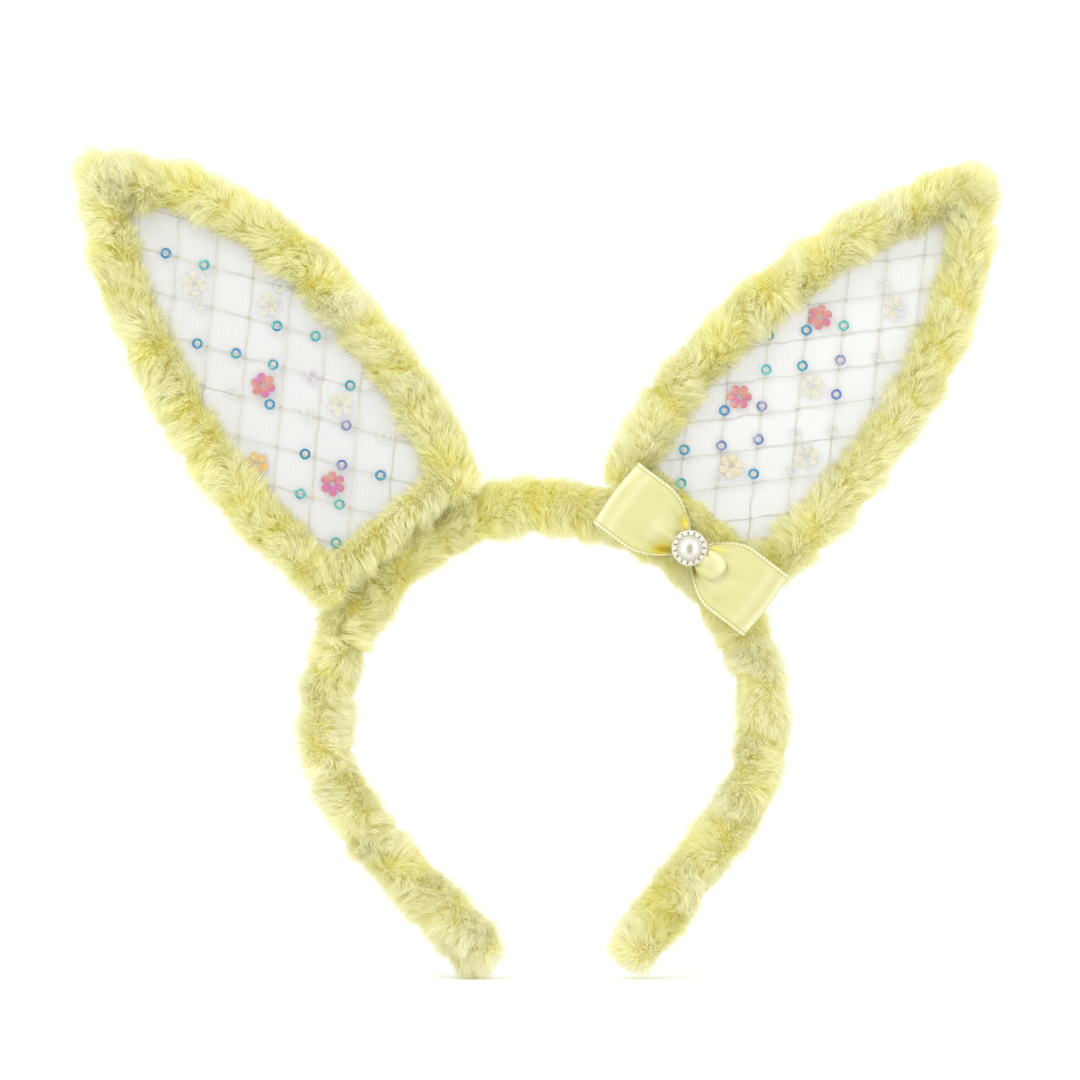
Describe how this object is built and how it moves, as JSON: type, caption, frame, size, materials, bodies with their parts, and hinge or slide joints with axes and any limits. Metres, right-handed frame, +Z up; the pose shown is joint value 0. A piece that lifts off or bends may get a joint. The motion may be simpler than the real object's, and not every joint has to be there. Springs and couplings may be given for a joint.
{
  "type": "animal ears headband",
  "caption": "Pale yellow fur-covered headband with two tilting leaf-shaped wired ears, sheer sequined net panels and a ribbon bow with a pearl.",
  "frame": {"origin": "middle of the head opening, the centre of the band's arc, where the wearer's head goes", "axes": "+Z up through the crown of the band, -Y the front that faces the viewer, +X to the viewer's right, along the widest extent"},
  "size_m": [0.2906, 0.0335, 0.2594],
  "materials": {
    "band_plastic": "moulded",
    "yellow_fur": "long pile",
    "coated_wire": "drawn",
    "tie_wire": "bent",
    "sewing_thread": "spun",
    "satin_ribbon": "satin",
    "pearl_plastic": "pearlised",
    "bead_metal": "plated",
    "sheer_panel": "sheer",
    "net_thread": "spun",
    "blue_sequin": "iridescent",
    "violet_sequin": "iridescent",
    "clear_sequin": "iridescent",
    "pink_sequin": "iridescent",
    "gold_sequin": "iridescent"
  },
  "bodies": {
    "band": {"band_core": "band_plastic", "crown_fur": "yellow_fur", "left_leg_fur": "yellow_fur", "right_leg_fur": "yellow_fur", "left_ear_ties": "tie_wire", "right_ear_ties": "tie_wire", "bow_stitches": "sewing_thread", "bow_left_loop": "satin_ribbon", "bow_right_loop": "satin_ribbon", "bow_knot": "satin_ribbon", "pearl_setting": "pearl_plastic", "setting_beads": "bead_metal", "pearl": "pearl_plastic"},
    "left_ear": {"left_ear_wire": "coated_wire", "left_ear_fur_inner": "yellow_fur", "left_ear_fur_outer": "yellow_fur", "left_ear_fur_foot": "yellow_fur", "left_ear_panel": "sheer_panel", "left_ear_net": "net_thread", "left_ear_blue_rings": "blue_sequin", "left_ear_violet_rings": "violet_sequin", "left_ear_clear_rings": "clear_sequin", "left_ear_pink_flowers": "pink_sequin", "left_ear_gold_flowers": "gold_sequin", "left_ear_clear_flowers": "clear_sequin"},
    "right_ear": {"right_ear_wire": "coated_wire", "right_ear_fur_inner": "yellow_fur", "right_ear_fur_outer": "yellow_fur", "right_ear_fur_foot": "yellow_fur", "right_ear_panel": "sheer_panel", "right_ear_net": "net_thread", "right_ear_blue_rings": "blue_sequin", "right_ear_violet_rings": "violet_sequin", "right_ear_clear_rings": "clear_sequin", "right_ear_pink_flowers": "pink_sequin", "right_ear_gold_flowers": "gold_sequin", "right_ear_clear_flowers": "clear_sequin"}
  },
  "joints": [
    {"name": "left_ear_tilt", "type": "hinge", "parent": "band", "child": "left_ear", "pos_m": [-0.04914, -0.008, 0.06313], "axis": [-0.7716, 0, -0.6361], "range_deg": [-10, 60]},
    {"name": "right_ear_tilt", "type": "hinge", "parent": "band", "child": "right_ear", "pos_m": [0.04725, -0.008, 0.06456], "axis": [-0.7705, 0, 0.6374], "range_deg": [-10, 60]}
  ]
}
